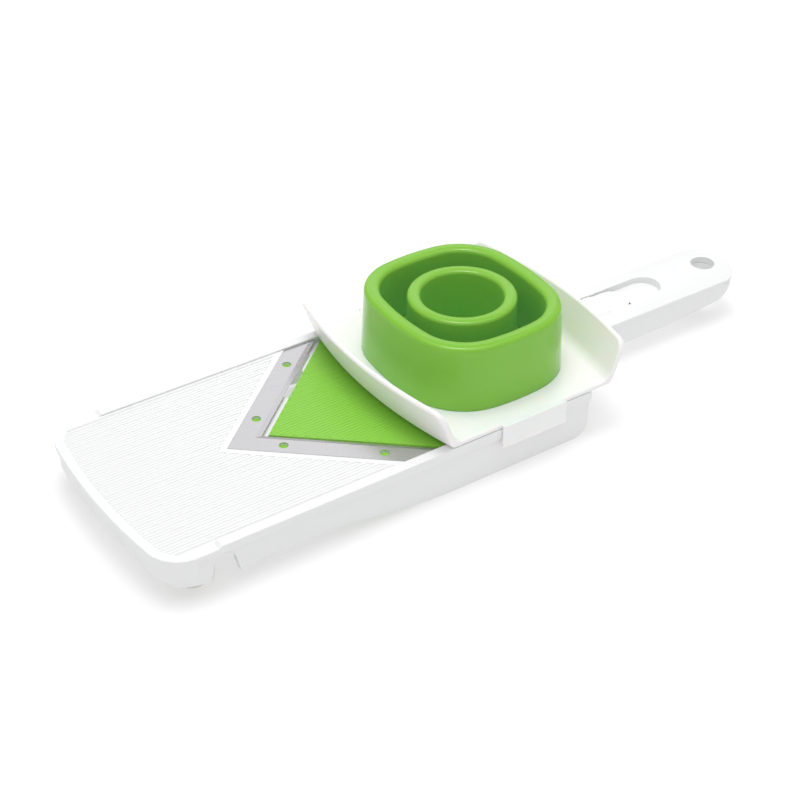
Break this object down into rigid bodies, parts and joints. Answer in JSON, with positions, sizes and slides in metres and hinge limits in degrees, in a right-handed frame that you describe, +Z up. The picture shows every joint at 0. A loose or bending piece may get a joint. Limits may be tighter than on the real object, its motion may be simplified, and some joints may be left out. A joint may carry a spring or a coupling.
{
  "type": "mandoline slicer",
  "caption": "Hand held V-blade mandoline with a ribbed deck, an adjustable feed ramp, a sliding food guard and a thumb slider in the handle.",
  "frame": {"origin": "centre of the bounding box in X and Y, at its bottom, which is the surface the slicer rests on", "axes": "+X along the body towards the handle, +Y across it, +Z up"},
  "size_m": [0.354, 0.1174, 0.0595],
  "materials": {
    "white_plastic": "gloss",
    "milky_plastic": "gloss",
    "green_plastic": "gloss",
    "dark_plastic": "satin",
    "pad_plastic": "satin",
    "pad_rubber": "matt",
    "steel": "polished"
  },
  "bodies": {
    "frame": {"body_frame": "white_plastic", "handle_cap": "white_plastic", "blade": "steel", "blade_carrier": "white_plastic", "carrier_screws": "steel", "blade_pegs": "green_plastic", "ramp_pins": "steel", "detent_spring": "steel", "under_cover": "white_plastic", "cover_screws": "steel", "cap_screws": "steel", "front_feet": "pad_rubber"},
    "ramp": {"ramp": "green_plastic", "follower_pin": "steel"},
    "setting_slide": {"thumb_button": "white_plastic", "cam_slide": "dark_plastic"},
    "guard": {"guard_plate": "milky_plastic", "glide_strips": "pad_plastic", "cup": "green_plastic"},
    "pusher": {"plunger": "green_plastic", "spike_plate": "white_plastic", "plate_screws": "steel", "spikes": "steel"}
  },
  "joints": [
    {"name": "guard_slide", "type": "slide", "parent": "frame", "child": "guard", "axis": [1, 0, 0], "range_m": [-0.138, 0.01]},
    {"name": "plunger_lift", "type": "slide", "parent": "guard", "child": "pusher", "axis": [0, 0, 1], "range_m": [0, 0.026]},
    {"name": "thickness_slide", "type": "slide", "parent": "frame", "child": "setting_slide", "axis": [1, 0, 0], "range_m": [-0.002, 0.02]},
    {"name": "ramp_pivot", "type": "hinge", "parent": "frame", "child": "ramp", "pos_m": [0.037, 0, 0.0203], "axis": [0, 1, 0], "range_deg": [-2.4, 0.25]}
  ],
  "couplings": [
    {"joint": "ramp_pivot", "follows": "thickness_slide", "rad_per_m": -1.9352}
  ]
}
